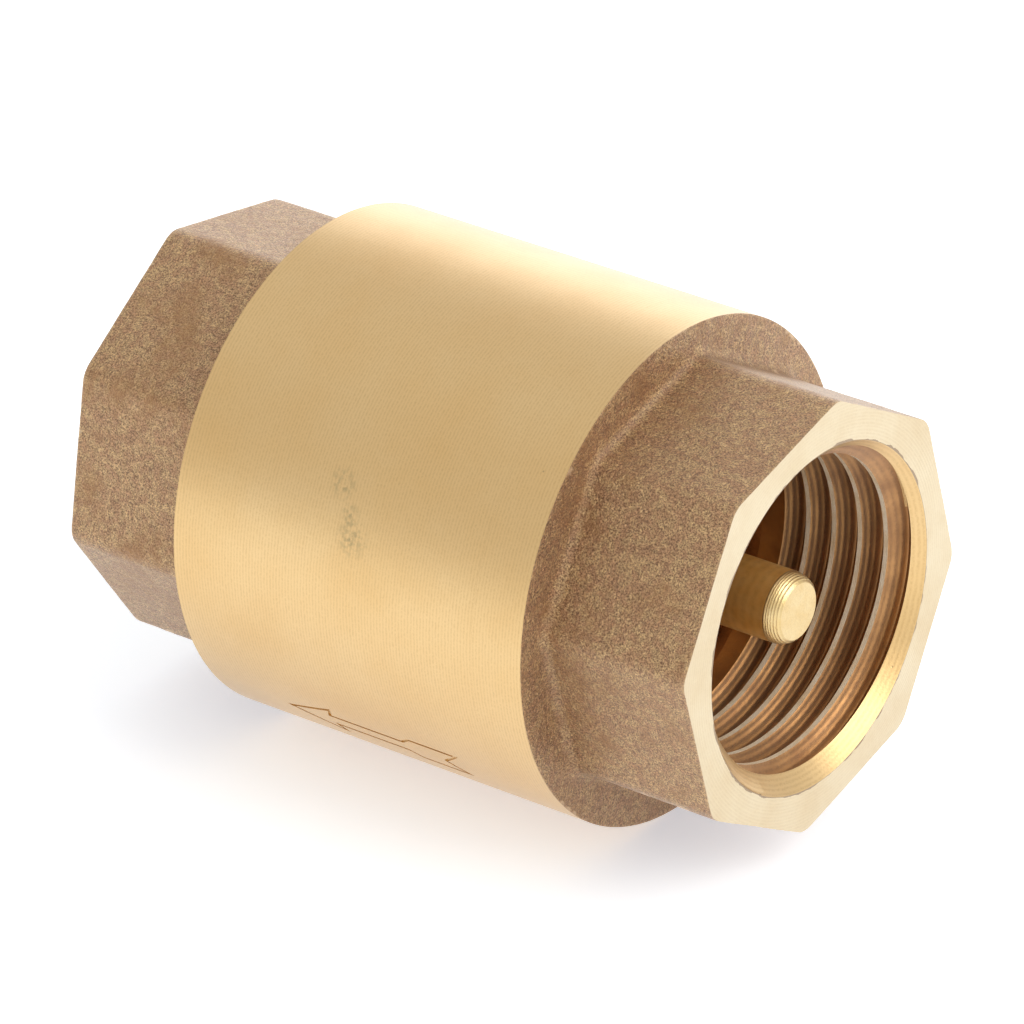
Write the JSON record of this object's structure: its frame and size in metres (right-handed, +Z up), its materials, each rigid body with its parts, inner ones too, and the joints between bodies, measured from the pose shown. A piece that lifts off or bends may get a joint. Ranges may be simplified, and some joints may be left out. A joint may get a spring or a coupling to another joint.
{
  "type": "inline spring check valve",
  "caption": "Inline brass spring check valve with female pipe threads, a guided poppet on a stem and octagonal wrench ends.",
  "frame": {"origin": "middle of the bore, halfway along the valve, which is the middle of its bounding box", "axes": "+X along the bore, out of the inlet mouth, so water flows towards -X; +Z up"},
  "size_m": [0.0444, 0.0306, 0.0306],
  "materials": {
    "body_brass": "machined barrel, shot-blasted cast ends",
    "turned_brass": "turned",
    "stem_brass": "drawn rod with turned ends",
    "nitrile_rubber": "moulded, satin",
    "spring_steel": "drawn stainless wire"
  },
  "bodies": {
    "housing": {"valve_body": "body_brass", "inlet_cap": "body_brass", "body_o_ring": "nitrile_rubber", "inlet_guide": "turned_brass", "outlet_guide": "turned_brass", "spring": "spring_steel"},
    "poppet": {"stem": "stem_brass", "seal_washer": "turned_brass", "disc_seal": "nitrile_rubber", "disc": "turned_brass", "stem_nut": "turned_brass"}
  },
  "joints": [
    {"name": "poppet_lift", "type": "slide", "parent": "housing", "child": "poppet", "axis": [-1, 0, 0], "range_m": [0, 0.004], "stiffness_N_per_m": 150, "springref_m": -0.0033, "deforming": ["spring"]}
  ]
}
